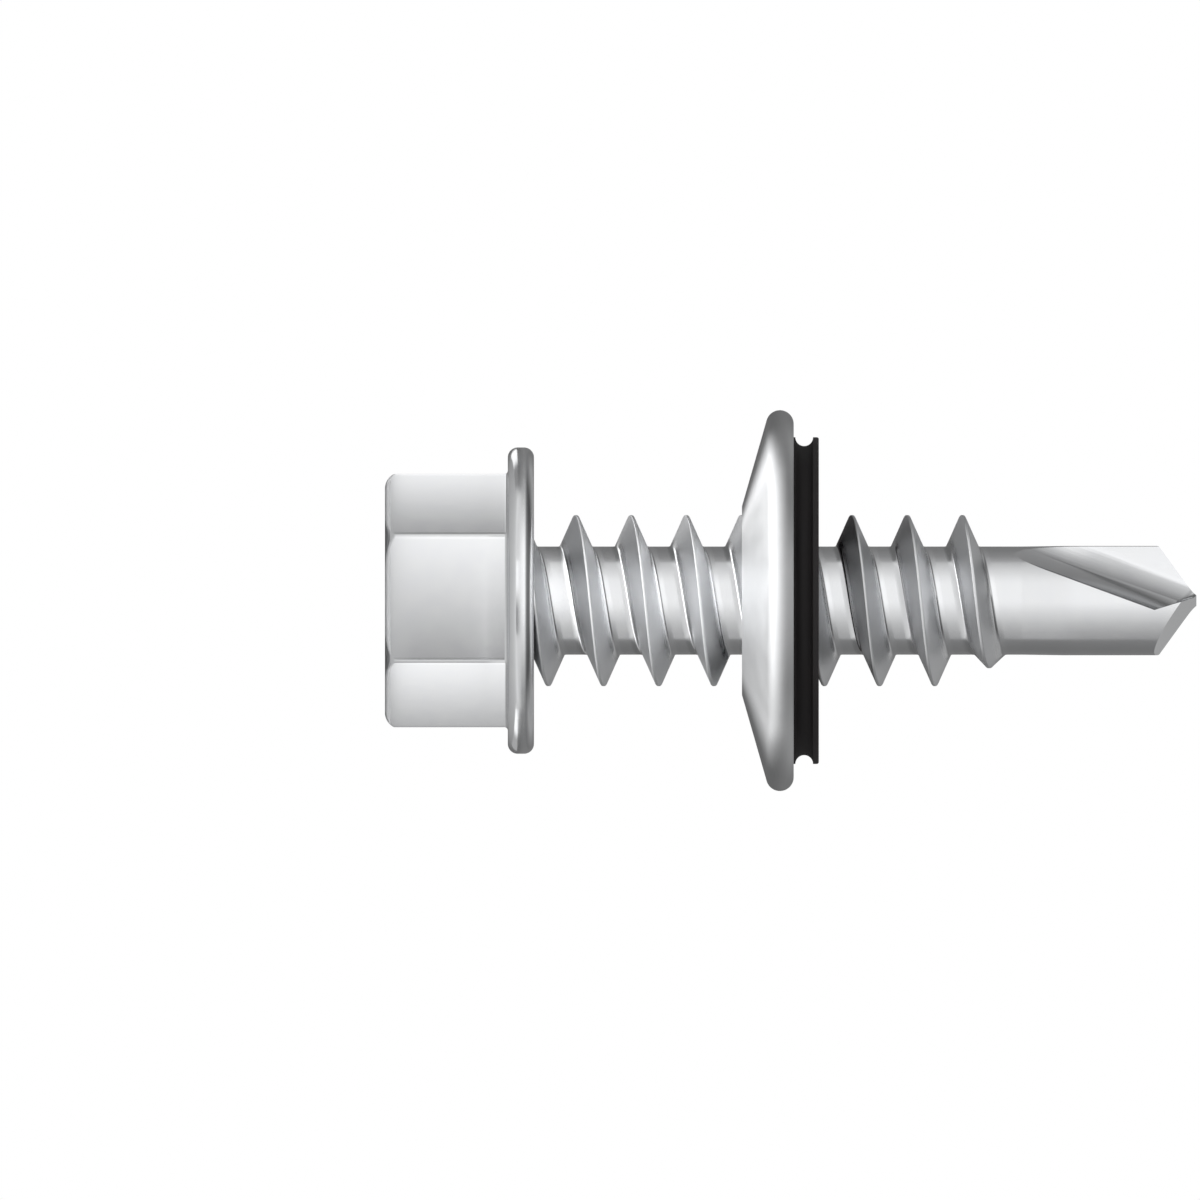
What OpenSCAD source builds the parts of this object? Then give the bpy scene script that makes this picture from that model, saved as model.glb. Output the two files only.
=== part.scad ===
// Self drilling screw with a hexagon washer head and a bonded sealing washer.
// Millimetres. The screw stands on its head: z = 0 is the top of the head, and +Z points to the tip.

/* [Head] */
// Width of the hexagon across its flats
hex_af = 8; // [6:0.1:9.2]
// Height of the hexagon, from the flange to the top of the head
hex_h = 4.45; // [3.5:0.05:7]
// Radius that rounds the hexagon's corners into the top
hex_round = 0.6; // [0.2:0.05:1]
// Turn of the hexagon about the axis, from a corner on the X axis
hex_turn = -1.2; // [-30:0.1:30]
// Diameter of the flange
flange_d = 11.1; // [10.7:0.1:15]
// Thickness of the flange
flange_h = 0.95; // [0.75:0.05:1.6]
// Radius of the flange's rounded edges
flange_round = 0.36; // [0.1:0.02:0.36]
// Narrowest width of the flat ring round the recess in the head
recess_ring = 0.5; // [0.3:0.05:1.2]
// Diameter of the recess's flat floor
recess_floor_d = 3; // [1:0.1:4]
// Depth of the recess
recess_depth = 0.8; // [0.4:0.05:1.1]

/* [Thread] */
// Length of the screw under the head, from the flange to the tip
length = 24; // [22.5:0.5:50]
// Diameter over the crests
thread_d = 6.2; // [5.2:0.05:7]
// Diameter of the core between the ridges
core_d = 3.92; // [3.4:0.02:3.92]
// Distance from one turn to the next
pitch = 2; // [1.4:0.05:2.4]
// Width of the ridge at the core
ridge_w = 1.08; // [0.7:0.02:1.2]
// Width of the narrow land on the crest
crest_w = 0.1; // [0.04:0.02:0.3]
// Length of the thread, from the flange to where its ridge has faded out
thread_l = 17.15; // [12:0.05:17.5]
// Turns over which the ridge fades out
fade_turns = 0.75; // [0.3:0.05:1.5]
// Height of the first crest above the flange on the +X side
first_crest = 0.52; // [0:0.02:1.4]

/* [Drill point] */
// Diameter of the drill point
drill_d = 3.96; // [3.92:0.02:4.8]
// Angle of the point between its two lips
point_angle = 108; // [90:1:130]
// Angle by which the point falls away behind each lip
lip_relief = 12; // [6:1:18]
// Thickness of the web that is left between the two flutes
web = 0.56; // [0.3:0.02:0.9]
// Angle at which a flute's floor runs down towards the axis
flute_angle = 20.2; // [17:0.1:30]
// Angle at which it rises again to the tip
nose_angle = 17; // [14:0.5:24]
// Distance of a flute's lowest point from the tip
flute_back = 1.52; // [1:0.02:2.2]
// How far a flute's lowest point lies past the axis
flute_past = 0.34; // [0.1:0.02:0.6]
// Radius of the trough between a flute's face and its floor
trough_r = 1.4; // [0.6:0.05:1.6]
// Radius of the same corner where the floor rises to the tip
nose_r = 0.5; // [0.2:0.05:0.9]

/* [Washer] */
// Outer diameter of the dished washer
washer_d = 13.8; // [11.5:0.1:19]
// Thickness of its sheet
washer_t = 1; // [0.6:0.05:1.2]
// Slope of the dish
dish_angle = 16; // [6:0.5:22]
// Gap between the thread's crests and the washer's bore
washer_clear = 0.2; // [0.1:0.02:0.6]
// Distance from the flange to the washer where it rests along the thread
washer_gap = 7.5; // [0.1:0.1:9]

/* [Seal] */
// How far the seal's edge lies inside the washer's rim
seal_inset = 0.98; // [0.7:0.02:1.6]
// How far the seal stands out past the washer's rim
seal_proud = 0.91; // [0.75:0.01:2]
// Gap between the thread's crests and the seal's bore
seal_clear = 0.05; // [0.02:0.01:0.1]
// Radius of the groove round the seal's edge
groove_r = 0.32; // [0.1:0.02:0.36]
// Distance from the washer's rim to the middle of the groove
groove_at = 0.38; // [0.36:0.02:0.6]

/* [Hidden] */
// Facets round a full turn where a shape is drawn round
$fn = 96;
// Depth by which joined shapes sink into each other and cuts reach past a face
SEAT = 0.2;
// Reach of the shapes that cut the drill point
CUT_ROOM = 8;
// How far the turned outline of the head stands clear of the hexagon's upright edges
CORNER_CLEAR = 0.04;
// Columns of points round the threaded core, and points of one ridge in each column
COLUMNS = 48;
RIDGE_POINTS = 4;
// Least height in which the ridge grows from nothing, hidden inside the head
RIDGE_GROWTH = 0.4;
// Plain core past the last ridge points at each end
CORE_END = 0.1;

// Heights along the axis
bearing_z = hex_h + flange_h;
tip_z = bearing_z + length;
thread_end_z = bearing_z + thread_l;

// Head
hex_corner_r = hex_af / 2 / cos(30);
recess_wall_w = (hex_af - recess_floor_d) / 2 - recess_ring;
recess_wall_r = (pow(recess_wall_w, 2) + pow(recess_depth, 2)) / (2 * recess_depth);

// Threaded core: heights and turn of the helical grid, which ends just past the faded ridge
grid_end_z = thread_end_z + pitch / 8;
turns = ceil((grid_end_z - bearing_z + ridge_w / 2 + RIDGE_GROWTH) / pitch);
grid_start_z = grid_end_z - turns * pitch;
grid_turn = 360 * (grid_start_z - bearing_z - first_crest) / pitch;
core_bottom_z = grid_start_z - ridge_w / 2 - CORE_END;
core_top_z = grid_end_z + ridge_w / 2 + CORE_END;

// Drill point: start of its blank, and rise of a lip across the web
blank_bottom_z = thread_end_z + ridge_w / 2;
lip_rise = web / 2 * tan(lip_relief) / sin(point_angle / 2);

// Washer: middle line of the sheet, from the bore to the round of the rim
washer_bore_r = thread_d / 2 + washer_clear;
rim_r = (washer_d - washer_t) / 2;
sheet_half_z = washer_t / 2 / cos(dish_angle);
rim_mid_z = bearing_z + washer_gap + sheet_half_z + (rim_r - washer_bore_r) * tan(dish_angle);
rim_face_z = rim_mid_z + washer_t / 2;

// Seal
seal_bore_r = thread_d / 2 + seal_clear;
seal_r = washer_d / 2 - seal_inset;
seal_face_z = rim_face_z + seal_proud;

// Height of the sheet's face on the head side (side = -1) or on the seal's side (side = 1)
function sheet_z(r, side) = rim_mid_z - (rim_r - r) * tan(dish_angle) + side * sheet_half_z;

// Share of its full height that the ridge has where its middle is at height z
function ridge_share(z) =
    let (
        grown = (z - grid_start_z) / (bearing_z - ridge_w / 2 - grid_start_z),
        left = (thread_end_z - z) / (fade_turns * pitch)
    )
    max(0, min(1, grown, left));

function core_point(r, column, z) =
    let (angle = grid_turn + 360 * column / COLUMNS)
    [r * cos(angle), r * sin(angle), z];

// Points 0 and 3 of a ridge are its feet on the core, points 1 and 2 the edges of its crest
function ridge_point(turn, column, place) =
    let (
        middle_z = grid_start_z + pitch * (turn + column / COLUMNS),
        on_crest = place == 1 || place == 2,
        half_w = (on_crest ? crest_w : ridge_w) / 2,
        ridge_h = on_crest ? (thread_d - core_d) / 2 * ridge_share(middle_z) : 0
    )
    core_point(core_d / 2 + ridge_h, column, middle_z + (place < 2 ? -half_w : half_w));

// Core and ridge as one closed surface. A column holds a bottom point, the ridge's points turn by
// turn, and a top point. From the last column to the first, the ridge has climbed one turn.
module threaded_core() {
    rows = turns * RIDGE_POINTS;
    last = COLUMNS - 1;
    points = [
        for (column = [0 : last])
            each concat(
                [core_point(core_d / 2, column, core_bottom_z)],
                [for (turn = [0 : turns - 1], place = [0 : RIDGE_POINTS - 1])
                    ridge_point(turn, column, place)],
                [core_point(core_d / 2, column, core_top_z)]
            )
    ];
    // Index of a point: row 0 is the bottom point and row rows + 1 the top point
    function at(column, row) = column * (rows + 2) + row;
    sides = [
        for (column = [0 : last - 1], row = [0 : rows])
            each [
                [at(column, row), at(column, row + 1), at(column + 1, row + 1)],
                [at(column, row), at(column + 1, row + 1), at(column + 1, row)]
            ]
    ];
    seam = [
        for (row = [1 : rows - RIDGE_POINTS - 1])
            let (climbed = row + RIDGE_POINTS)
            each [
                [at(last, row), at(last, row + 1), at(0, climbed + 1)],
                [at(last, row), at(0, climbed + 1), at(0, climbed)]
            ]
    ];
    bottom_fan = concat(
        [for (row = [0 : RIDGE_POINTS]) [at(last, 0), at(0, row + 1), at(0, row)]],
        [[at(last, 0), at(last, 1), at(0, RIDGE_POINTS + 1)]]
    );
    top_fan = concat(
        [for (row = [rows - RIDGE_POINTS : rows]) [at(last, row), at(last, row + 1), at(0, rows + 1)]],
        [[at(last, rows - RIDGE_POINTS), at(0, rows + 1), at(0, rows)]]
    );
    bottom = [for (column = [0 : last]) at(column, 0)];
    top = [for (column = [last : -1 : 0]) at(column, rows + 1)];
    polyhedron(points = points, faces = concat(sides, seam, bottom_fan, top_fan, [bottom, top]));
}

// Hexagon whose corners round into the top of the head
module hexagon() {
    sunk_h = hex_h + SEAT;
    outline_r = hex_corner_r + CORNER_CLEAR;
    intersection() {
        rotate(hex_turn)
            cylinder(r = hex_corner_r, h = sunk_h, $fn = 6);
        rotate_extrude() {
            square([outline_r - hex_round, sunk_h + SEAT]);
            translate([0, hex_round])
                square([outline_r, sunk_h + SEAT - hex_round]);
            translate([outline_r - hex_round, hex_round])
                circle(r = hex_round);
        }
    }
}

module flange() {
    flat_r = flange_d / 2 - flange_round;
    translate([0, 0, hex_h])
        rotate_extrude() {
            square([flat_r, flange_h]);
            translate([0, flange_round])
                square([flange_d / 2, flange_h - 2 * flange_round]);
            for (z = [flange_round, flange_h - flange_round])
                translate([flat_r, z])
                    circle(r = flange_round);
        }
}

// Dish in the top of the head: a flat floor and a wall that curves up to the ring round it
module recess() {
    floor_r = recess_floor_d / 2;
    rotate_extrude() {
        translate([0, -SEAT])
            square([floor_r, SEAT + recess_depth]);
        translate([0, -SEAT])
            square([floor_r + recess_wall_w, SEAT]);
        intersection() {
            translate([floor_r, recess_depth - recess_wall_r])
                circle(r = recess_wall_r);
            translate([floor_r, 0])
                square([recess_wall_w, recess_depth]);
        }
    }
}

module head() {
    difference() {
        union() {
            hexagon();
            flange();
        }
        recess();
    }
}

// Prism that cuts a straight flute: its floor leans away from the Z axis, and the face that is
// left beside it is half the web away from the axis
module flute_prism(angle, corner_r) {
    face_y = web / 2;
    run = (drill_d / 2 + flute_past) / sin(angle);
    rotate([0, angle, 0])
        translate([-CUT_ROOM, -CUT_ROOM, -run])
            linear_extrude(height = run + CUT_ROOM) {
                square([CUT_ROOM - corner_r, CUT_ROOM - face_y]);
                square([CUT_ROOM, CUT_ROOM - face_y - corner_r]);
                translate([CUT_ROOM - corner_r, CUT_ROOM - face_y - corner_r])
                    circle(r = corner_r);
            }
}

// The floor runs down past the axis, turns at its lowest point, and rises again to the tip
module flute() {
    translate([flute_past, 0, tip_z - flute_back])
        intersection() {
            flute_prism(flute_angle, trough_r);
            mirror([0, 0, 1])
                flute_prism(nose_angle, nose_r);
        }
}

// Everything past the plane that holds one lip and falls away behind it
module past_lip() {
    translate([0, -web / 2, tip_z + lip_rise])
        rotate([-lip_relief, point_angle / 2 - 90, 0])
            translate([-CUT_ROOM, -CUT_ROOM, 0])
                cube([2 * CUT_ROOM, 2 * CUT_ROOM, CUT_ROOM]);
}

// Threaded core and drill point, with two flutes and two lips half a turn apart
module shank() {
    difference() {
        union() {
            threaded_core();
            translate([0, 0, blank_bottom_z])
                cylinder(d = drill_d, h = tip_z - blank_bottom_z + SEAT);
        }
        for (turn = [0, 180])
            rotate(turn) {
                flute();
                past_lip();
            }
    }
}

// One cold formed piece: head, flange, threaded shank and drill point
module screw() {
    color("#c3c6c8") {
        head();
        shank();
    }
}

// Dished sheet whose outer edge is fully round
module washer() {
    lean = washer_t / 2 * sin(dish_angle);
    rise = washer_t / 2 * cos(dish_angle);
    color("#b4b7ba")
        rotate_extrude() {
            polygon([
                [washer_bore_r, sheet_z(washer_bore_r, -1)],
                [rim_r + lean, rim_mid_z - rise],
                [rim_r - lean, rim_mid_z + rise],
                [washer_bore_r, sheet_z(washer_bore_r, 1)]
            ]);
            translate([rim_r, rim_mid_z])
                circle(d = washer_t);
        }
}

// Rubber bonded into the dish, with a groove round its edge
module seal() {
    color("#262424")
        rotate_extrude()
            difference() {
                polygon([
                    [seal_bore_r, sheet_z(seal_bore_r, 1)],
                    [seal_r, sheet_z(seal_r, 1)],
                    [seal_r, seal_face_z],
                    [seal_bore_r, seal_face_z]
                ]);
                translate([seal_r, rim_face_z + groove_at])
                    circle(r = groove_r);
            }
}

screw();
washer();
seal();
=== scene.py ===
"""Self drilling screw with a bonded sealing washer: finished surfaces, studio and camera."""

import math

import bmesh
import bpy
from mathutils import Matrix, Vector


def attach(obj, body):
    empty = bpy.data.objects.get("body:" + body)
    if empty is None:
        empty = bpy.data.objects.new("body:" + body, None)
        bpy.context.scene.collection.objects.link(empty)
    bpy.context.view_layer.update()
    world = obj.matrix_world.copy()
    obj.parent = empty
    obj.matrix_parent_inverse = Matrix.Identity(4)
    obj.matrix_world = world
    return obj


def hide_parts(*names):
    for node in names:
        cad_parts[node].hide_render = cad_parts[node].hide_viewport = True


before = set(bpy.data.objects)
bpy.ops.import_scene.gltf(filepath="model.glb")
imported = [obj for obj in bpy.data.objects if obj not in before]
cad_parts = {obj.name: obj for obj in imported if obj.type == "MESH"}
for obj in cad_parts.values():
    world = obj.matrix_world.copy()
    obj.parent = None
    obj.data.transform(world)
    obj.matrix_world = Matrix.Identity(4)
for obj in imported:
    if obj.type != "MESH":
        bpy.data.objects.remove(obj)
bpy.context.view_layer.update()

MM = 0.001

# Sizes in millimetres and degrees, the same as the model's own

# Head
HEX_AF = 8.0  # width of the hexagon across its flats
HEX_H = 4.45  # height of the hexagon, from the flange to the top of the head
HEX_ROUND = 0.6  # radius that rounds the hexagon's corners into the top
HEX_TURN = -1.2  # turn of the hexagon about the axis, from a corner on the X axis
CORNER_CLEAR = 0.04  # how far the head's turned outline stands clear of the upright edges
FLANGE_D = 11.1
FLANGE_H = 0.95  # thickness of the flange
FLANGE_ROUND = 0.36  # radius of the flange's rounded edges
RECESS_RING = 0.5  # narrowest width of the flat ring round the recess
RECESS_FLOOR_D = 3.0
RECESS_DEPTH = 0.8

# Threaded shank
LENGTH = 24.0  # length under the head, from the flange's face to the tip
THREAD_D = 6.2  # diameter over the crests
CORE_D = 3.92  # diameter of the core between the ridges
PITCH = 2.0  # distance from one turn to the next
RIDGE_W = 1.08  # width of the ridge at the core
CREST_W = 0.1  # width of the narrow land on the crest
THREAD_L = 17.15  # length of the thread, from the flange to where its ridge has faded out
FADE_TURNS = 0.75  # turns over which the ridge fades out
FIRST_CREST = 0.52  # height of the first crest above the flange on the +X side

# Drill point
DRILL_D = 3.96
POINT_ANGLE = 108.0  # angle of the point between its two lips
LIP_RELIEF = 12.0  # angle by which the point falls away behind each lip
WEB = 0.56  # thickness of the web between the two flutes
FLUTE_ANGLE = 20.2  # angle at which a flute's floor runs down towards the axis
NOSE_ANGLE = 17.0  # angle at which it rises again to the tip
FLUTE_BACK = 1.52  # distance of a flute's lowest point from the tip
FLUTE_PAST = 0.34  # how far a flute's lowest point lies past the axis
TROUGH_R = 1.4  # radius of the trough between a flute's face and its floor
NOSE_R = 0.5  # radius of the same corner where the floor rises to the tip

# Dished washer
WASHER_D = 13.8
WASHER_T = 1.0  # thickness of its sheet
DISH_ANGLE = 16.0  # slope of the dish
WASHER_CLEAR = 0.2  # gap between the thread's crests and the washer's bore
WASHER_GAP = 7.5  # distance from the flange to the washer where it rests

# Rubber seal
SEAL_INSET = 0.98  # how far the seal's edge lies inside the washer's rim
SEAL_PROUD = 0.91  # how far the seal stands out past the washer's rim
SEAL_CLEAR = 0.05  # gap between the crests and the seal's bore
GROOVE_R = 0.32  # radius of the groove round the seal's edge
GROOVE_AT = 0.38  # distance from the washer's rim to the middle of the groove

# What forming and moulding leave where the model has sharp edges
EDGE_R = 0.05  # radius of the recess's mouth, the hexagon's upper edge and the washer's bore
HEX_CORNER_R = 0.2  # radius of the hexagon's upright edges
HEAD_FILLET = 0.12  # fillet where the hexagon meets the flange
SHANK_FILLET = 0.15  # fillet where the flange meets the core
ROOT_FILLET = 0.15  # fillet at each foot of the ridge
CREST_SOFT = 0.04  # radius of the crest's two edges
BLANK_TAPER = 1.5  # length over which the core widens to the drill's blank
SEAL_EDGE_R = 0.07  # radius of the edges of the seal's face

# How the pieces are drawn
CUT_REACH = 8.0  # reach of the shapes that cut the drill point
BLANK_PAST_TIP = 0.3  # length of the blank past the tip before it is cut
RING_SIDES = 288  # flat sides in a full turn of a washer or seal
SHARP_ANGLE = 35  # edges that turn by more than this angle stay sharp
SAME_POINT = 0.0005  # points closer than this are made one
NO_LENGTH = 0.0001  # edges shorter than this are dropped

# Heights along the axis, and radii of core and ridge
BEARING_Z = HEX_H + FLANGE_H
TIP_Z = BEARING_Z + LENGTH
THREAD_END_Z = BEARING_Z + THREAD_L
BLANK_Z = THREAD_END_Z + RIDGE_W / 2
CORE_R, RIDGE_H = CORE_D / 2, (THREAD_D - CORE_D) / 2


# Round corners and arcs of outlines, in millimetres

def arc(centre, radius, start, end, steps):
    """Points on an arc from start to end, in degrees."""
    angles = [math.radians(start + (end - start) * i / steps) for i in range(steps + 1)]
    return [(centre[0] + radius * math.cos(a), centre[1] + radius * math.sin(a)) for a in angles]


def rounded(corners, radii, steps=4, closed=False):
    """An outline through corners, each turned by an arc of its radius."""
    points = []
    count = len(corners)
    for i, (corner, radius) in enumerate(zip(corners, radii)):
        if radius == 0 or (not closed and i in (0, count - 1)):
            points.append(corner)
            continue
        before, after = corners[i - 1], corners[(i + 1) % count]
        into = unit(before, corner)
        out = unit(corner, after)
        turn = math.atan2(into[0] * out[1] - into[1] * out[0], into[0] * out[0] + into[1] * out[1])
        reach = radius * math.tan(abs(turn) / 2)
        side = math.copysign(1, turn)
        start = (corner[0] - into[0] * reach, corner[1] - into[1] * reach)
        centre = (start[0] - into[1] * side * radius, start[1] + into[0] * side * radius)
        first = math.degrees(math.atan2(start[1] - centre[1], start[0] - centre[0]))
        points += arc(centre, radius, first, first + math.degrees(turn), steps)
    return points


def unit(a, b):
    length = math.dist(a, b)
    return (b[0] - a[0]) / length, (b[1] - a[1]) / length


# The screw's own form. Its mesh is columns of points up the axis, at one set of angles.

def column_angles():
    """Angles from a flat's middle: every 2 degrees, and closer where the corner is rounded."""
    one_side = list(range(0, 25, 2)) + [25.5, 27, 28.1, 28.75, 29.4]
    flat = [-a for a in reversed(one_side[1:])] + one_side + [30]
    return [(HEX_TURN + 30 + 60 * side + a, a) for side in range(6) for a in flat]


def hexagon_r(from_flat):
    """Radius of the hexagon with rounded upright edges, at an angle from the middle of a flat."""
    inner = HEX_AF / 2 - HEX_CORNER_R
    a = math.radians(abs(from_flat))
    if HEX_AF / 2 * math.tan(a) <= inner * math.tan(math.radians(30)):
        return HEX_AF / 2 / math.cos(a)
    corner = inner / math.cos(math.radians(30))
    off = math.radians(30) - a
    return corner * math.cos(off) + math.sqrt(HEX_CORNER_R ** 2 - (corner * math.sin(off)) ** 2)


def recess_outline():
    """From the middle of the dish in the head to the flat ring round it."""
    floor_r = RECESS_FLOOR_D / 2
    wall_w = HEX_AF / 2 - RECESS_RING - floor_r
    wall_r = (wall_w ** 2 + RECESS_DEPTH ** 2) / (2 * RECESS_DEPTH)
    wall_turn = math.degrees(math.asin(wall_w / wall_r))
    floor = [(floor_r * i / 4, RECESS_DEPTH) for i in range(4)]
    wall = arc((floor_r, RECESS_DEPTH - wall_r), wall_r, 90, 90 - wall_turn, 16)
    mouth = rounded([wall[-2], wall[-1], (wall[-1][0] + 2 * EDGE_R, 0)], [0, EDGE_R, 0])
    return floor + wall[:-1] + mouth[1:-1]


def side_outline(from_flat, ring_in):
    """From the flat ring over the head's edge, down the hexagon and out along the flange."""
    side_r = hexagon_r(from_flat)
    round_start = HEX_AF / 2 / math.cos(math.radians(30)) + CORNER_CLEAR - HEX_ROUND
    ring_out = min(side_r, round_start)
    crease_turn = math.asin((side_r - ring_out) / HEX_ROUND)
    crease_z = HEX_ROUND * (1 - math.cos(crease_turn))

    def before_crease(s):
        """A point of the top at a distance before the crease where it meets the hexagon's side."""
        a = crease_turn - s / HEX_ROUND
        if a < 0:
            return ring_out + HEX_ROUND * a, 0.0
        return round_start + HEX_ROUND * math.sin(a), HEX_ROUND * (1 - math.cos(a))

    steps, near = 12, 2 * EDGE_R
    total = ring_out - ring_in + HEX_ROUND * crease_turn
    top = [before_crease(near + (total - near) * (1 - i / steps)) for i in range(1, steps + 1)]
    crease = before_crease(0) if crease_turn > 0 else (side_r, 0.0)
    edge = rounded([top[-1], crease, (side_r, crease_z + near)], [0, EDGE_R, 0])[1:-1]
    wall_top, wall_foot = crease_z + near, HEX_H - HEAD_FILLET
    wall = [(side_r, wall_top + (wall_foot - wall_top) * i / 6) for i in range(6)]
    fillet = arc((side_r + HEAD_FILLET, wall_foot), HEAD_FILLET, 180, 90, 5)
    flat_r = FLANGE_D / 2 - FLANGE_ROUND
    face_in = side_r + HEAD_FILLET
    face = [(face_in + (flat_r - face_in) * i / 3, HEX_H) for i in (1, 2)]
    rim = (arc((flat_r, HEX_H + FLANGE_ROUND), FLANGE_ROUND, -90, 0, 10)
           + arc((flat_r, BEARING_Z - FLANGE_ROUND), FLANGE_ROUND, 0, 90, 10))
    return top + edge + wall + fillet + face + rim


def ridge_outline():
    """One turn of thread across the ridge: height along the axis and share of the ridge's height."""
    foot, land, half = RIDGE_W / 2, CREST_W / 2, PITCH / 2
    corners = [(-half, 0), (-foot, 0), (-land, RIDGE_H), (land, RIDGE_H), (foot, 0), (half, 0)]
    points = rounded(corners, [0, ROOT_FILLET, CREST_SOFT, CREST_SOFT, ROOT_FILLET, 0])[:-1]
    flank = []
    for (z0, h0), (z1, h1) in zip(points, points[1:] + [(half, 0)]):
        parts = 4 if abs(h1 - h0) > RIDGE_H / 3 else 2 if z1 - z0 > ROOT_FILLET else 1
        flank += [(z0 + (z1 - z0) * i / parts, h0 + (h1 - h0) * i / parts) for i in range(parts)]
    return [(z, h / RIDGE_H) for z, h in flank]


RIDGE = ridge_outline()


def ridge_middle_z(angle, turn):
    return BEARING_Z + FIRST_CREST + PITCH * (angle / 360 + turn)


def ridge_height(middle_z):
    """The ridge keeps its full height until it fades out over its last part turn."""
    return RIDGE_H * max(0, min(1, (THREAD_END_Z - middle_z) / (FADE_TURNS * PITCH)))


def shank_r(angle, z):
    """Radius of core and ridge at any place on the shank."""
    turn = round((z - ridge_middle_z(angle, 0)) / PITCH)
    middle = ridge_middle_z(angle, turn)
    offset = z - middle
    places = RIDGE + [(PITCH / 2, 0)]
    for (z0, h0), (z1, h1) in zip(places, places[1:]):
        if offset <= z1:
            share = h0 + (h1 - h0) * (offset - z0) / (z1 - z0)
            return CORE_R + share * ridge_height(middle)
    return CORE_R


def foot_r(z):
    """Radius of the small fillet between the flange and the core."""
    rise = min(z - BEARING_Z, SHANK_FILLET)
    return CORE_R + SHANK_FILLET - math.sqrt(SHANK_FILLET ** 2 - (SHANK_FILLET - rise) ** 2)


def thread_column(angle):
    """Every point of every turn, and the fillet's own. Those past either end are gathered at that end."""
    points = []
    for turn in range(-2, math.ceil(THREAD_L / PITCH) + 2):
        middle = ridge_middle_z(angle, turn)
        height = ridge_height(middle)
        for offset, share in RIDGE:
            z = min(max(middle + offset, BEARING_Z), BLANK_Z)
            r = CORE_R + share * height if z == middle + offset else shank_r(angle, z)
            points.append((max(r, foot_r(z)), z))
    for a in (20, 40, 60, 90):
        z = BEARING_Z + SHANK_FILLET * (1 - math.cos(math.radians(a)))
        points.append((max(shank_r(angle, z), foot_r(z)), z))
    return sorted(points, key=lambda point: point[1])


def grid(bm, angles, columns, climb=0):
    """A wall of faces between columns of (radius, height), closed round the axis.
    From the last column to the first the wall climbs by that many rows."""
    made = []
    for angle, column in zip(angles, columns):
        c, s = math.cos(math.radians(angle)) * MM, math.sin(math.radians(angle)) * MM
        made.append([bm.verts.new((r * c, r * s, z * MM)) for r, z in column])
    for i, left in enumerate(made):
        shift = climb if i == len(made) - 1 else 0
        right = made[(i + 1) % len(made)]
        for row in range(len(left) - 1 - shift):
            low, high = right[row + shift], right[row + shift + 1]
            bm.faces.new((left[row], low, high, left[row + 1]))


def closed_mesh(bm, name):
    """Merges what meets, drops what has no size, and shades smooth but for sharp edges."""
    bmesh.ops.remove_doubles(bm, verts=bm.verts, dist=SAME_POINT * MM)
    bmesh.ops.dissolve_degenerate(bm, dist=NO_LENGTH * MM, edges=bm.edges)
    bmesh.ops.recalc_face_normals(bm, faces=bm.faces)
    mesh = bpy.data.meshes.new(name)
    bm.to_mesh(mesh)
    bm.free()
    piece = bpy.data.objects.new(name, mesh)
    bpy.context.collection.objects.link(piece)
    shade(piece)
    return piece


def shade(piece):
    piece.data.shade_smooth()
    piece.data.set_sharp_from_angle(angle=math.radians(SHARP_ANGLE))


def uncut_screw():
    """Head, flange, threaded shank and round blank of the drill point, in one skin."""
    columns = column_angles()
    angles = [angle for angle, _ in columns]
    dish = recess_outline()
    ring_in = dish[-1][0]
    flat_r = FLANGE_D / 2 - FLANGE_ROUND
    bm = bmesh.new()
    head = []
    for angle, from_flat in columns:
        inner = max(shank_r(angle, BEARING_Z), foot_r(BEARING_Z))
        bearing = [(flat_r + (inner - flat_r) * i / 4, BEARING_Z) for i in range(1, 5)]
        head.append(dish + side_outline(from_flat, ring_in) + bearing)
    grid(bm, angles, head)
    grid(bm, angles, [thread_column(a) for a in angles], climb=len(RIDGE))
    blank_end, blank_rows = TIP_Z + BLANK_PAST_TIP, 10
    full_z = BLANK_Z + BLANK_TAPER
    blank = [(CORE_R, BLANK_Z)]
    blank += [(DRILL_D / 2, full_z + (blank_end - full_z) * i / blank_rows) for i in range(blank_rows + 1)]
    blank.append((0.0, blank_end))
    grid(bm, angles, [blank] * len(angles))
    return closed_mesh(bm, "screw_body")


def prism(name, outline, low, high):
    """A straight prism along Z, from its outline in millimetres."""
    bm = bmesh.new()
    rings = [[bm.verts.new((x * MM, y * MM, z * MM)) for x, y in outline] for z in (low, high)]
    count = len(outline)
    for i in range(count):
        j = (i + 1) % count
        bm.faces.new((rings[0][i], rings[0][j], rings[1][j], rings[1][i]))
    bm.faces.new(rings[0])
    bm.faces.new(rings[1])
    return closed_mesh(bm, name)


def combine(piece, tool, operation):
    """Cuts or joins one closed piece with another, and removes the tool."""
    step = piece.modifiers.new("step", "BOOLEAN")
    step.operation, step.object, step.solver = operation, tool, "EXACT"
    seen = piece.evaluated_get(bpy.context.evaluated_depsgraph_get())
    result = bpy.data.meshes.new_from_object(seen)
    piece.modifiers.clear()
    piece.data = result
    bpy.data.objects.remove(tool)


def trough(name, angle, corner_r, upside_down):
    """A straight trough whose floor leans away from the axis by an angle."""
    face_y = WEB / 2
    run = (DRILL_D / 2 + FLUTE_PAST) / math.sin(math.radians(angle))
    corner = arc((-corner_r, -face_y - corner_r), corner_r, 0, 90, 32)
    outline = [(-CUT_REACH, -CUT_REACH), (0, -CUT_REACH)] + corner + [(-CUT_REACH, -face_y)]
    low, high = (-CUT_REACH, run) if upside_down else (-run, CUT_REACH)
    tool = prism(name, outline, low, high)
    lean = -angle if upside_down else angle
    tool.data.transform(Matrix.Rotation(math.radians(lean), 4, "Y"))
    return tool


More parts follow.
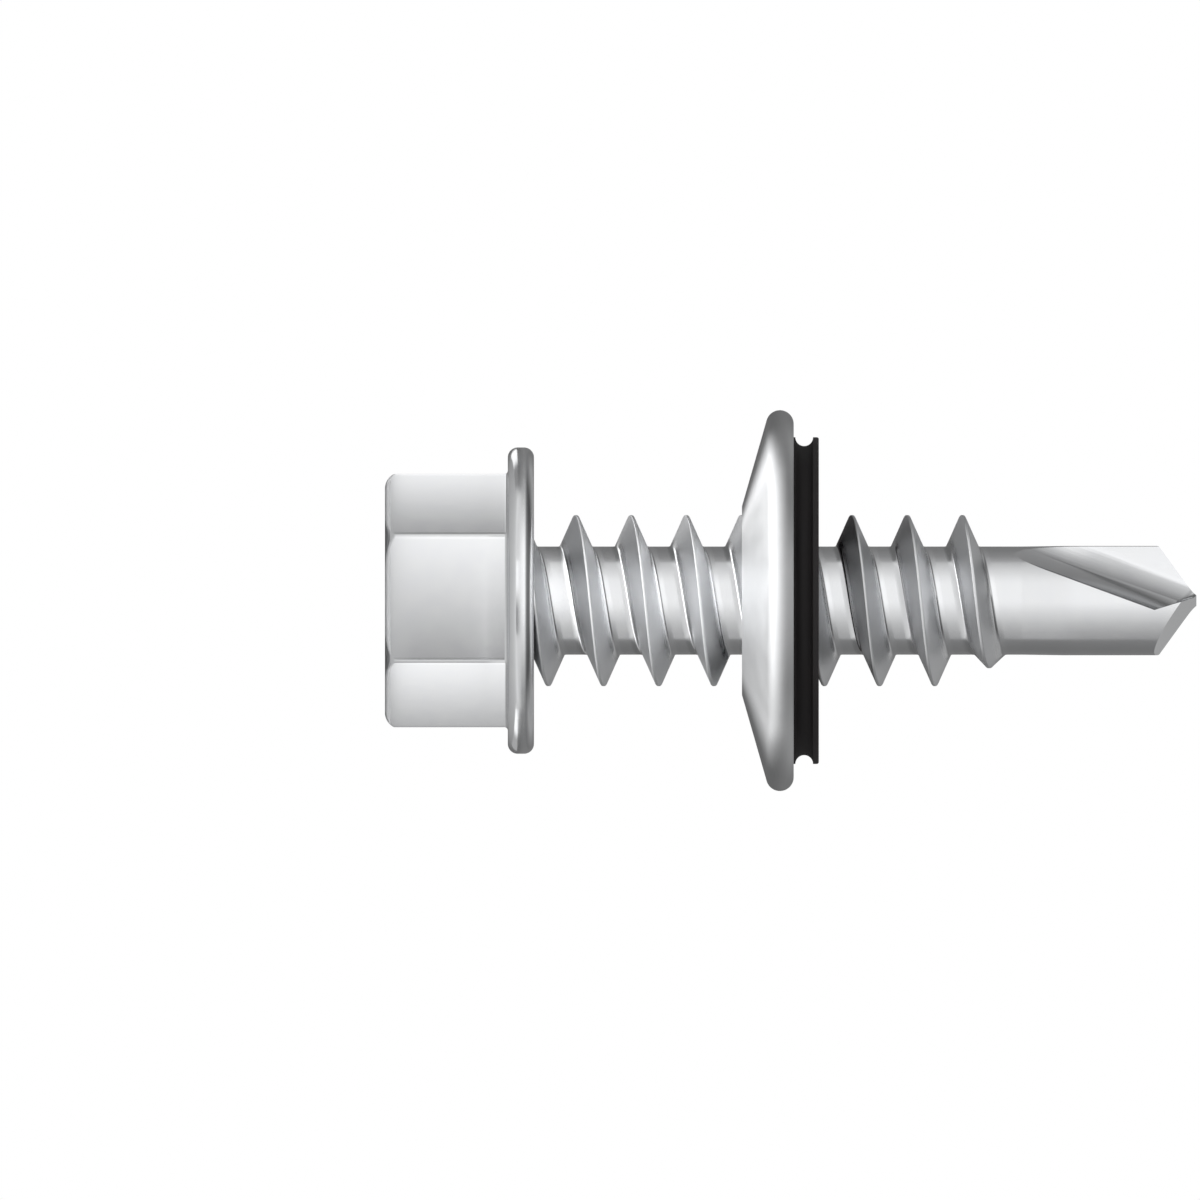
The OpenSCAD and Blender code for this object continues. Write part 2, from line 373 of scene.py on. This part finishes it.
def flute_space(turn):
    """What one flute takes away: two rounded troughs that cross at the flute's lowest point."""
    space = trough("flute_down", FLUTE_ANGLE, TROUGH_R, upside_down=False)
    combine(space, trough("flute_up", NOSE_ANGLE, NOSE_R, upside_down=True), "INTERSECT")
    lowest = Matrix.Translation((FLUTE_PAST * MM, 0, (TIP_Z - FLUTE_BACK) * MM))
    space.data.transform(Matrix.Rotation(math.radians(turn), 4, "Z") @ lowest)
    return space


def past_lip_space(turn):
    """What the plane of one lip and of its relieved back cuts away from the blank's end."""
    corners = [(-1, -1), (1, -1), (1, 1), (-1, 1)]
    space = prism("past_lip", [(x * CUT_REACH, y * CUT_REACH) for x, y in corners], 0, CUT_REACH)
    half_point = math.radians(POINT_ANGLE / 2)
    rise = WEB / 2 * math.tan(math.radians(LIP_RELIEF)) / math.sin(half_point)
    tilt = (Matrix.Rotation(half_point - math.radians(90), 4, "Y")
            @ Matrix.Rotation(math.radians(-LIP_RELIEF), 4, "X"))
    place = Matrix.Translation((0, -WEB / 2 * MM, (TIP_Z + rise) * MM))
    space.data.transform(Matrix.Rotation(math.radians(turn), 4, "Z") @ place @ tilt)
    return space


def make_screw():
    screw = uncut_screw()
    for turn in (0, 180):
        combine(screw, flute_space(turn), "DIFFERENCE")
        combine(screw, past_lip_space(turn), "DIFFERENCE")
    shade(screw)
    return screw


# Pieces that are round about the axis

def turned(name, outline):
    """A closed ring turned from a closed outline of (radius, height)."""
    bm = bmesh.new()
    angles = [360 * i / RING_SIDES for i in range(RING_SIDES)]
    grid(bm, angles, [outline + outline[:1]] * RING_SIDES)
    return closed_mesh(bm, name)


SLOPE = math.radians(DISH_ANGLE)
WASHER_BORE_R = THREAD_D / 2 + WASHER_CLEAR
RIM_R = (WASHER_D - WASHER_T) / 2
SHEET_HALF_Z = WASHER_T / 2 / math.cos(SLOPE)
RIM_MID_Z = BEARING_Z + WASHER_GAP + SHEET_HALF_Z + (RIM_R - WASHER_BORE_R) * math.tan(SLOPE)
RIM_FACE_Z = RIM_MID_Z + WASHER_T / 2


def sheet_z(r, side):
    """Height of the dished sheet's head side (-1) or seal side (1)."""
    return RIM_MID_Z - (RIM_R - r) * math.tan(SLOPE) + side * SHEET_HALF_Z


def make_washer():
    rim = arc((RIM_R, RIM_MID_Z), WASHER_T / 2, DISH_ANGLE - 90, DISH_ANGLE + 90, 32)
    bore = [(WASHER_BORE_R, sheet_z(WASHER_BORE_R, 1)), (WASHER_BORE_R, sheet_z(WASHER_BORE_R, -1))]
    outline = rounded(rim + bore, [0] * len(rim) + [EDGE_R, 2 * EDGE_R], closed=True)
    return turned("washer_dish", outline)


def make_seal():
    seal_r, bore_r = WASHER_D / 2 - SEAL_INSET, THREAD_D / 2 + SEAL_CLEAR
    face_z, groove_z = RIM_FACE_Z + SEAL_PROUD, RIM_FACE_Z + GROOVE_AT
    groove = arc((seal_r, groove_z), GROOVE_R, 270, 90, 24)
    corners = [(bore_r, sheet_z(bore_r, 1)), (seal_r, sheet_z(seal_r, 1))] + groove
    corners += [(seal_r, face_z), (bore_r, face_z)]
    radii = [0, 0] + [0] * len(groove) + [SEAL_EDGE_R, SEAL_EDGE_R]
    return turned("seal_ring", rounded(corners, radii, closed=True))


# Finishes

NOISE_LOW = 0.3  # cloudy noise lies between these two, but for a few spots
NOISE_HIGH = 0.7
FLANK_FROM = 0.1  # height above the core at which the ridge's dull flank starts
FLANK_FULL = 0.35  # height above the core from which it is all dull
BLOOM_W = 1.6  # width of the patches of bloom on the rubber
MOULD_GRAIN_W = 0.09  # width and depth of the rubber's grain
MOULD_GRAIN_DEPTH = 0.004


def linear(hex_colour):
    """An sRGB colour written as rrggbb, as the linear colour that a shader takes."""
    parts = [int(hex_colour[i:i + 2], 16) / 255 for i in (0, 2, 4)]
    return [p / 12.92 if p <= 0.04045 else ((p + 0.055) / 1.055) ** 2.4 for p in parts] + [1.0]


def grey(level):
    return [level, level, level, 1.0]


def add(tree, kind, settings=None, links=None):
    """One node, with its settings, the stops of its colours and what feeds its sockets."""
    node = tree.nodes.new("ShaderNode" + kind)
    for name, value in (settings or {}).items():
        if name == "stops":
            while len(node.color_ramp.elements) < len(value):
                node.color_ramp.elements.new(0.5)
            for element, (place, colour) in zip(node.color_ramp.elements, value):
                element.position, element.color = place, colour
        elif isinstance(name, int) or name in node.inputs:
            node.inputs[name].default_value = value
        else:
            setattr(node, name, value)
    for name, source in (links or {}).items():
        tree.links.new(source, node.inputs[name])
    return node


def new_material(name):
    material = bpy.data.materials.new(name)
    material.use_nodes = True
    material.node_tree.nodes.clear()
    return material, material.node_tree


def rolled_flanks(tree, place, gloss, flank_rough):
    """Roughness of the thread's flanks, which the rolling dies leave duller than core and blank."""
    across = add(tree, "VectorMath", {"operation": "MULTIPLY", 1: (1, 1, 0)}, {0: place})
    from_axis = add(tree, "VectorMath", {"operation": "LENGTH"}, {0: across.outputs["Vector"]})
    on_ridge = add(tree, "MapRange", {"From Min": (CORE_R + FLANK_FROM) * MM,
                                      "From Max": (CORE_R + FLANK_FULL) * MM},
                   {"Value": from_axis.outputs["Value"]}).outputs["Result"]
    up = add(tree, "SeparateXYZ", links={"Vector": place}).outputs["Z"]
    past_flange = add(tree, "MapRange", {"From Min": BEARING_Z * MM, "From Max": (BEARING_Z + 0.05) * MM},
                      {"Value": up}).outputs["Result"]
    flank = add(tree, "Math", {"operation": "MULTIPLY"}, {0: on_ridge, 1: past_flange}).outputs["Value"]
    rough = add(tree, "Mix", {"data_type": "FLOAT", 3: flank_rough}, {0: flank, 2: gloss})
    return rough.outputs[0]


def zinc_plate(name, light, dark, rough, cloud_mm, grain_mm, grain_depth_mm, turned_marks=0.0,
               flank_rough=None):
    """Bright zinc electroplate on steel: a smooth, nearly mirror like metal coat. The eye sees soft
    reflections, a faint cloudiness from uneven passivation, and a fine crystalline grain. The real
    crystals are a few thousandths of a millimetre wide, too fine to show, so they are drawn about
    0.05 mm wide, which is one or two pixels."""
    material, tree = new_material(name)
    place = add(tree, "TexCoord").outputs["Object"]
    cloud = add(tree, "TexNoise", {"Scale": 1 / (cloud_mm * MM), "Detail": 3.0, "Roughness": 0.55},
                {"Vector": place}).outputs["Fac"]
    grain = add(tree, "TexNoise", {"Scale": 1 / (grain_mm * MM), "Detail": 2.0, "Roughness": 0.6},
                {"Vector": place}).outputs["Fac"]
    colour = add(tree, "ValToRGB", {"stops": [(NOISE_LOW, linear(dark)), (NOISE_HIGH, linear(light))]},
                 {"Fac": cloud}).outputs["Color"]
    gloss = add(tree, "MapRange", {"From Min": NOISE_LOW, "From Max": NOISE_HIGH, "To Min": rough * 0.95,
                                   "To Max": rough * 1.06}, {"Value": cloud}).outputs["Result"]
    if flank_rough:
        gloss = rolled_flanks(tree, place, gloss, flank_rough)
    bump = add(tree, "Bump", {"Strength": 1.0, "Distance": grain_depth_mm * MM},
               {"Height": grain}).outputs["Normal"]
    shader = add(tree, "BsdfPrincipled", {"Metallic": 1.0, "Anisotropic": turned_marks,
                                          "Anisotropic Rotation": 0.25},
                 {"Base Color": colour, "Roughness": gloss, "Normal": bump})
    if turned_marks:
        round_axis = add(tree, "Tangent", {"direction_type": "RADIAL", "axis": "Z"})
        tree.links.new(round_axis.outputs["Tangent"], shader.inputs["Tangent"])
    add(tree, "OutputMaterial", links={"Surface": shader.outputs["BSDF"]})
    return material


def moulded_rubber():
    """Black moulded rubber of the weatherproof kind: dead black, with a broad dull sheen, a patchy
    bloom a millimetre or two wide, and the grain that the mould leaves. The mould's own grain
    is about 0.03 mm, too fine to show, so it is drawn three times as coarse."""
    material, tree = new_material("moulded_black_rubber")
    place = add(tree, "TexCoord").outputs["Object"]
    bloom = add(tree, "TexNoise", {"Scale": 1 / (BLOOM_W * MM), "Detail": 3.0},
                {"Vector": place}).outputs["Fac"]
    grain = add(tree, "TexNoise", {"Scale": 1 / (MOULD_GRAIN_W * MM), "Detail": 3.0},
                {"Vector": place}).outputs["Fac"]
    colour = add(tree, "ValToRGB", {"stops": [(0.35, linear("151213")), (0.7, linear("1d191a"))]},
                 {"Fac": bloom}).outputs["Color"]
    gloss = add(tree, "MapRange", {"To Min": 0.62, "To Max": 0.8}, {"Value": bloom}).outputs["Result"]
    bump = add(tree, "Bump", {"Strength": 1.0, "Distance": MOULD_GRAIN_DEPTH * MM},
               {"Height": grain}).outputs["Normal"]
    shader = add(tree, "BsdfPrincipled", {"IOR": 1.52},
                 {"Base Color": colour, "Roughness": gloss, "Normal": bump})
    add(tree, "OutputMaterial", links={"Surface": shader.outputs["BSDF"]})
    return material


def dress(piece, material, body, node):
    piece.data.materials.clear()
    piece.data.materials.append(material)
    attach(piece, body)
    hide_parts(node)


# Cold formed and rolled between polished dies, so the plate is glossy but for the thread's flanks.
screw_zinc = zinc_plate("bright_zinc_cold_formed", light="e7e8e9", dark="e4e5e7", rough=0.17,
                        cloud_mm=0.6, grain_mm=0.05, grain_depth_mm=0.0003, flank_rough=0.42)
# Pressed from rolled sheet. The press leaves fine marks round the axis, which spread the shine outwards.
washer_zinc = zinc_plate("bright_zinc_pressed_sheet", light="ecedee", dark="e8e9ea", rough=0.38,
                         cloud_mm=0.8, grain_mm=0.06, grain_depth_mm=0.0005, turned_marks=1.0)
dress(make_screw(), screw_zinc, "screw", "screw")
dress(make_washer(), washer_zinc, "sealing_washer", "washer")
dress(make_seal(), moulded_rubber(), "sealing_washer", "seal")


# Studio. Its lengths are in millimetres.

FLOOR_HALF_W = 1000
FLOOR_Z = -0.01  # just under the head, so that the two never share a plane
BACKDROP_AWAY = 1400
BACKDROP_HALF_W = 24
BACKDROP_LOW = -18
BACKDROP_HIGH = 40
SIDE_CARD_W = 16
SIDE_CARD_LOW = 0.1  # a side's card stands from the floor nearly to the flange
SIDE_CARD_HIGH = HEX_H - 0.15


def painted(name, hex_colour, shows_as=None):
    """Matt paint. Where a colour to show is given, that is what the camera and gloss see."""
    material, tree = new_material(name)
    surface = add(tree, "BsdfPrincipled", {"Base Color": linear(hex_colour), "Roughness": 0.9,
                                           "Specular IOR Level": 0.2}).outputs["BSDF"]
    if shows_as:
        ray = add(tree, "LightPath").outputs
        seen = add(tree, "Math", {"operation": "MAXIMUM"}, {0: ray["Is Camera Ray"], 1: ray["Is Glossy Ray"]})
        seen = add(tree, "Math", {"operation": "MAXIMUM"},
                   {0: seen.outputs["Value"], 1: ray["Is Transmission Ray"]})
        plain = add(tree, "Emission", {"Color": linear(shows_as), "Strength": 1.0}).outputs["Emission"]
        surface = add(tree, "MixShader", links={"Fac": seen.outputs["Value"], 1: surface, 2: plain})
        surface = surface.outputs["Shader"]
    add(tree, "OutputMaterial", links={"Surface": surface})
    return material


def panel(name, material, corners):
    """A flat stage panel through four corners."""
    mesh = bpy.data.meshes.new(name)
    mesh.from_pydata([(x * MM, y * MM, z * MM) for x, y, z in corners], [], [(0, 1, 2, 3)])
    mesh.materials.append(material)
    piece = bpy.data.objects.new(name, mesh)
    bpy.context.collection.objects.link(piece)
    return piece


def level_panel(name, material, half_width, height):
    """A square stage panel that lies level, with the screw's axis through its middle."""
    corners = [(-half_width, -half_width), (half_width, -half_width),
               (half_width, half_width), (-half_width, half_width)]
    return panel(name, material, [(x, y, height) for x, y in corners])


def soft_lamp(name, at, width, watts):
    """A soft square lamp that shines straight down."""
    data = bpy.data.lights.new(name, "AREA")
    data.shape, data.size, data.energy = "SQUARE", width * MM, watts
    piece = bpy.data.objects.new(name, data)
    bpy.context.collection.objects.link(piece)
    piece.location = Vector(at) * MM
    piece.visible_camera = piece.visible_glossy = False


def only_gloss_sees(card):
    card.visible_camera = card.visible_diffuse = card.visible_shadow = card.visible_transmission = False


def level_way(from_camera):
    """A level direction: the one to the camera, turned by an angle towards -X, up in the picture."""
    a = math.radians(from_camera)
    return -math.sin(a), -math.cos(a), 0


def spread(tree, value, levels, unit=MM):
    """Grey levels given at places along a value, with an even change between them."""
    first, last = levels[0][0] * unit, levels[-1][0] * unit
    share = add(tree, "MapRange", {"From Min": first, "From Max": last}, {"Value": value}).outputs["Result"]
    stops = [((place * unit - first) / (last - first), grey(level)) for place, level in levels]
    return add(tree, "ValToRGB", {"stops": stops}, {"Fac": share}).outputs["Color"]


def level_glow(tree, from_camera, forwards, outwards):
    """Levels on a level card, which change along one direction and with the distance from the axis."""
    here = add(tree, "TexCoord").outputs["Object"]
    flat = add(tree, "VectorMath", {"operation": "MULTIPLY", 1: (1, 1, 0)}, {0: here}).outputs["Vector"]
    ahead = add(tree, "VectorMath", {"operation": "DOT_PRODUCT", 1: level_way(from_camera)}, {0: flat})
    away = add(tree, "VectorMath", {"operation": "LENGTH"}, {0: flat})
    both = {0: spread(tree, ahead.outputs["Value"], forwards),
            1: spread(tree, away.outputs["Value"], outwards)}
    return add(tree, "VectorMath", {"operation": "MULTIPLY"}, both).outputs["Vector"]


def floor_card(name, half_width, height, from_camera, forwards, outwards):
    """A card just over the floor that only gloss sees, in place of the floor."""
    material, tree = new_material(name)
    glow = add(tree, "Emission", links={"Color": level_glow(tree, from_camera, forwards, outwards)})
    add(tree, "OutputMaterial", links={"Surface": glow.outputs["Emission"]})
    only_gloss_sees(level_panel(name, material, half_width, height))


def floating_card(name, half_width, height, from_camera, forwards, outwards, brightness):
    """A level card that only gloss sees, and only from above. It is clear where its level is 0."""
    material, tree = new_material(name)
    share = level_glow(tree, from_camera, forwards, outwards)
    lit = add(tree, "Emission", {"Strength": brightness}).outputs["Emission"]
    clear = add(tree, "BsdfTransparent").outputs["BSDF"]
    top = add(tree, "MixShader", links={"Fac": share, 1: clear, 2: lit}).outputs["Shader"]
    underside = add(tree, "NewGeometry").outputs["Backfacing"]
    card = add(tree, "MixShader", links={"Fac": underside, 1: top, 2: clear})
    add(tree, "OutputMaterial", links={"Surface": card.outputs["Shader"]})
    only_gloss_sees(level_panel(name, material, half_width, height))


def upright_card(name, at, faces, width, low, high, bright, dim, fade):
    """A card that only gloss sees, dim at one side and bright at the other, with a fade of that
    width between them. It stands at one point of the floor and faces another."""
    material, tree = new_material(name)
    across = add(tree, "SeparateXYZ", links={"Vector": add(tree, "TexCoord").outputs["Object"]})
    level = add(tree, "MapRange", {"From Min": -fade / 2 * MM, "From Max": fade / 2 * MM,
                                   "To Min": dim, "To Max": bright}, {"Value": across.outputs["X"]})
    glow = add(tree, "Emission", links={"Strength": level.outputs["Result"]}).outputs["Emission"]
    add(tree, "OutputMaterial", links={"Surface": glow})
    half = width / 2
    card = panel(name, material, [(-half, 0, low), (half, 0, low), (half, 0, high), (-half, 0, high)])
    turn = math.atan2(faces[1] - at[1], faces[0] - at[0]) + math.radians(90)
    place = Matrix.Translation((at[0] * MM, at[1] * MM, 0))
    card.matrix_world = place @ Matrix.Rotation(turn, 4, "Z")
    only_gloss_sees(card)


def side_card(name, side_angle, distance, bright, dim, fade):
    """A card in the place that the camera sees mirrored in one of the hexagon's sides."""
    a = math.radians(side_angle)
    normal = (math.cos(a), math.sin(a))
    middle_of_side = (normal[0] * HEX_AF / 2, normal[1] * HEX_AF / 2)
    # The camera's line of sight along Y, as the side mirrors it
    mirrored = (-2 * normal[1] * normal[0], 1 - 2 * normal[1] * normal[1])
    at = (middle_of_side[0] + mirrored[0] * distance, middle_of_side[1] + mirrored[1] * distance)
    upright_card(name, at, middle_of_side, SIDE_CARD_W, SIDE_CARD_LOW, SIDE_CARD_HIGH, bright, dim, fade)


# The hexagon's sides are flat, so each mirrors a small place. A card stands in each such place, and
# gives the side its change from light at its upper edge in the picture to grey at its lower one.
side_card("upper_card", HEX_TURN + 210, distance=12, bright=1.25, dim=0.3, fade=2.6)
side_card("front_card", HEX_TURN + 270, distance=14, bright=1.25, dim=0.33, fade=5.0)
side_card("lower_card", HEX_TURN + 330, distance=12, bright=1.3, dim=0.45, fade=2.6)

# What gloss sees of the floor: light towards the camera, and darker behind the screw.
floor_card("floor_card", half_width=990, height=0.2, from_camera=0,
           forwards=[(-990, 0.15), (-20, 0.2), (-6, 0.5), (4, 0.8), (15, 1.2), (40, 1.0), (990, 1.0)],
           outwards=[(0, 0.62), (9.5, 0.64), (34, 0.75), (60, 0.75)])

# The washer's dished side mirrors a bright arc in front of it and under it, level with the flange.
floating_card("cone_card", half_width=24, height=5.0, from_camera=28,
              forwards=[(-20, 0.0), (-8, 0.1), (3, 0.4), (9, 0.75), (13, 1.0), (24, 1.0)],
              outwards=[(0, 0.0), (8, 0.0), (11, 1.0), (16, 1.0), (21, 0.0), (24, 0.0)], brightness=3.9)

# The relieved lip mirrors a dim card behind the tip. The flute's face mirrors one that fades
# across it, from light at the screw's outline to dark at the lip.
upright_card("tip_card", at=(10, 37), faces=(0, 0), width=16, low=35, high=47,
             bright=0.4, dim=0.4, fade=1)
upright_card("flute_card", at=(-8.5, -5.3), faces=(-0.9, -0.4), width=17, low=26.6, high=35,
             bright=0.12, dim=0.8, fade=15)

# A wide pale floor. The white backdrop stands far behind, and is hardly larger than the camera sees.
level_panel("floor", painted("pale_floor", "e8e8e8"), FLOOR_HALF_W, FLOOR_Z)
panel("backdrop", painted("white_backdrop", "f4f4f4", shows_as="ffffff"),
      [(-BACKDROP_HALF_W, BACKDROP_AWAY, BACKDROP_LOW), (-BACKDROP_HALF_W, BACKDROP_AWAY, BACKDROP_HIGH),
       (BACKDROP_HALF_W, BACKDROP_AWAY, BACKDROP_HIGH), (BACKDROP_HALF_W, BACKDROP_AWAY, BACKDROP_LOW)])
soft_lamp("overhead", at=(-4, -10, 130), width=120, watts=0.17)

# The glow all round, which the plating mirrors. Its middle is on the camera's side, a little above
# the shank in the picture. Each level is given at an angle in degrees from that middle, and at an
# angle above or below the level of the floor.
GLOW_TURN = 18
GLOW = [(180, 0.17), (141, 0.17), (116, 0.2), (92, 0.26), (68, 0.43), (42, 0.74), (20, 1.0)]
GLOW_HEIGHT = [(8.6, 1.0), (22.3, 0.3), (44.4, 0.17), (61.6, 0.3), (78.5, 1.4)]
# A second, higher glow behind the screw, for the views from there.
BACK_SKY = [(120, 0.26), (84.3, 0.0)]
BACK_SKY_HEIGHT = [(11.5, 0.0), (30, 1.0)]
GLOW_STRENGTH = 1.25


def sky_glow(tree, ahead, levels, up, height_levels):
    """Levels at angles from the glow's middle, times levels at angles from the horizon."""
    around = [(math.cos(math.radians(angle)), level) for angle, level in levels]
    over = [(math.sin(math.radians(angle)), level) for angle, level in height_levels]
    both = {0: spread(tree, ahead, around, unit=1), 1: spread(tree, up, over, unit=1)}
    return add(tree, "VectorMath", {"operation": "MULTIPLY"}, both).outputs["Vector"]


def studio_world():
    world = bpy.data.worlds.new("studio")
    world.use_nodes = True
    bpy.context.scene.world = world
    tree = world.node_tree
    tree.nodes.clear()
    way = add(tree, "TexCoord").outputs["Generated"]
    ahead = add(tree, "VectorMath", {"operation": "DOT_PRODUCT", 1: level_way(GLOW_TURN)}, {0: way})
    ahead = ahead.outputs["Value"]
    up = add(tree, "SeparateXYZ", links={"Vector": way}).outputs["Z"]
    off_level = add(tree, "Math", {"operation": "ABSOLUTE"}, {"Value": up}).outputs["Value"]
    front = sky_glow(tree, ahead, GLOW, off_level, GLOW_HEIGHT)
    back = sky_glow(tree, ahead, BACK_SKY, up, BACK_SKY_HEIGHT)
    total = add(tree, "VectorMath", {"operation": "ADD"}, {0: front, 1: back}).outputs["Vector"]
    sky = add(tree, "Background", {"Strength": GLOW_STRENGTH}, {"Color": total})
    add(tree, "OutputWorld", links={"Surface": sky.outputs["Background"]})


studio_world()


# Camera: level, square to the shank, with the head on the left as in the picture

PICTURE_PX = 1200
PX_PER_MM = 27.6
MIDDLE_Z = 7.791  # what lies in the middle of the picture, along the screw's axis and across it
MIDDLE_X = -0.022
CAMERA_AWAY = 300
RIGHT, UP, BACK = (0, 0, 1), (-1, 0, 0), (0, -1, 0)

camera_data = bpy.data.cameras.new("camera")
camera_data.type = "ORTHO"
camera_data.ortho_scale = PICTURE_PX / PX_PER_MM * MM
camera = bpy.data.objects.new("camera", camera_data)
bpy.context.collection.objects.link(camera)
turned_to_screw = Matrix((RIGHT, UP, BACK)).transposed().to_4x4()
camera.matrix_world = Matrix.Translation(Vector((MIDDLE_X, -CAMERA_AWAY, MIDDLE_Z)) * MM) @ turned_to_screw
bpy.context.scene.camera = camera
bpy.context.scene.view_settings.view_transform = "Standard"
